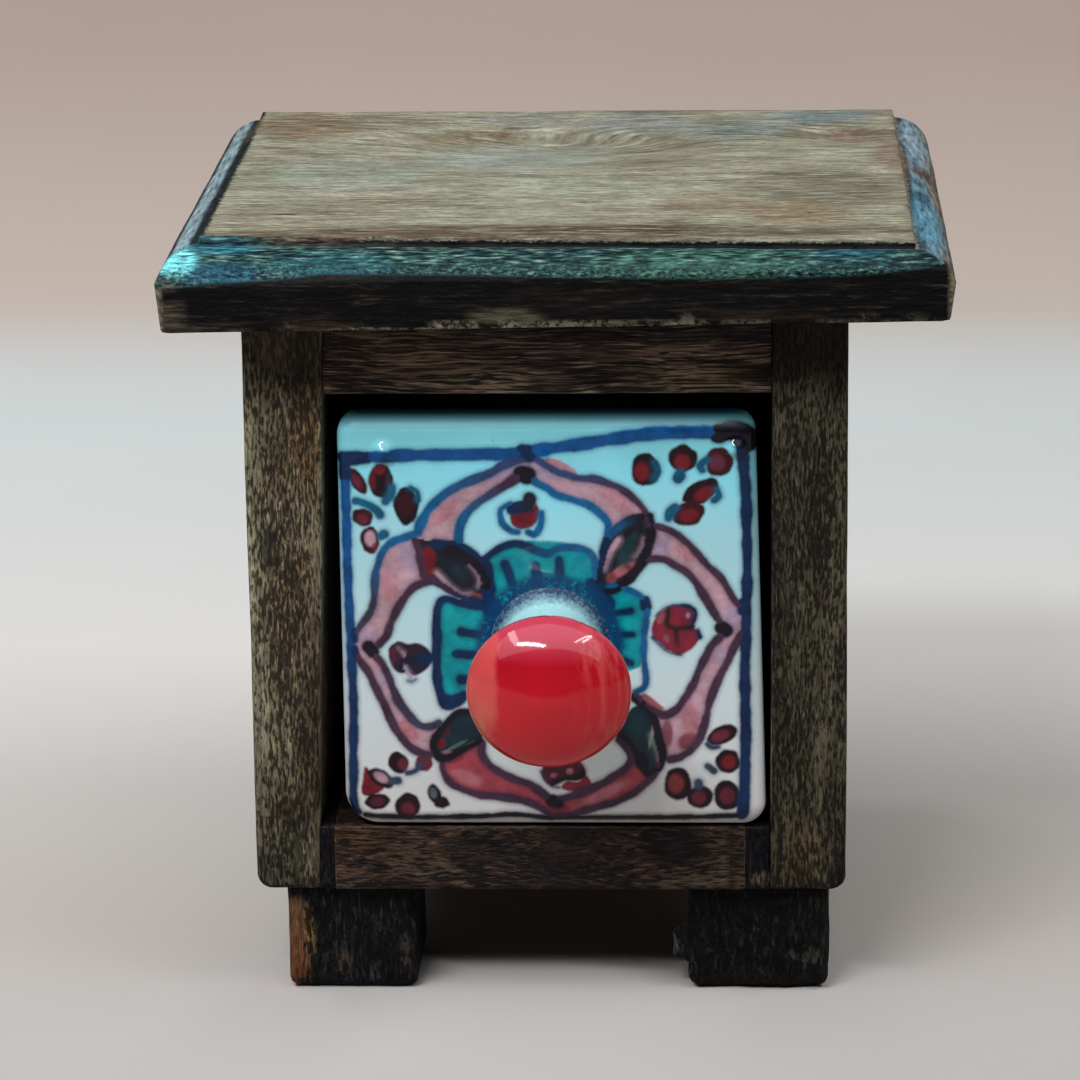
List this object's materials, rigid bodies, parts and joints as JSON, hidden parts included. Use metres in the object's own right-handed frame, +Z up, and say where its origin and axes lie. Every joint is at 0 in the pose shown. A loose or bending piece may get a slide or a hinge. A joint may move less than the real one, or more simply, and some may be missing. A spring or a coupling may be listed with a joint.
{
  "type": "mini chest of drawers",
  "caption": "Small wooden tabletop chest holding a glazed ceramic drawer with a round pull, under an overhanging moulded top, on block feet.",
  "frame": {"origin": "middle of the whole outline, on the surface that the feet stand on", "axes": "+Z up, the drawer opens towards -Y, +X to the right when facing the drawer"},
  "size_m": [0.1118, 0.1164, 0.1153],
  "materials": {
    "mango_wood_cap": "aged mango wood, worn satin wax, teal wash left in the moulding, front edge nearly black",
    "mango_wood_case": "aged mango wood, olive brown with dark flecks, matt",
    "mango_wood_rail": "dark brown mango wood, grain along the rail, matt",
    "dark_filler": "thin strip soaked in dark filler",
    "stained_wood_foot": "rough sawn block stained black, brown where the stain missed",
    "painted_white_glaze": "glossy white glaze over hand-painted blue, teal, pink and dark red",
    "red_glaze": "glossy red glaze with thin orange brush marks, white behind the rim",
    "steel_nail": "plain wire nail, dulled"
  },
  "bodies": {
    "case": {"cap_board": "mango_wood_cap", "side_left": "mango_wood_case", "side_right": "mango_wood_case", "top_rail": "mango_wood_rail", "floor_board": "mango_wood_rail", "back_panel": "mango_wood_case", "filler_strip_left": "dark_filler", "filler_strip_right": "dark_filler", "foot_front_left": "stained_wood_foot", "foot_front_right": "stained_wood_foot", "foot_back_left": "stained_wood_foot", "foot_back_right": "stained_wood_foot", "cap_nails": "steel_nail", "rail_nails": "steel_nail", "floor_nails": "steel_nail", "foot_nails": "steel_nail", "back_pins": "steel_nail"},
    "drawer": {"drawer_box": "painted_white_glaze", "drawer_pull": "red_glaze"}
  },
  "joints": [
    {"name": "drawer_slide", "type": "slide", "parent": "case", "child": "drawer", "axis": [0, -1, 0], "range_m": [0, 0.072]}
  ]
}
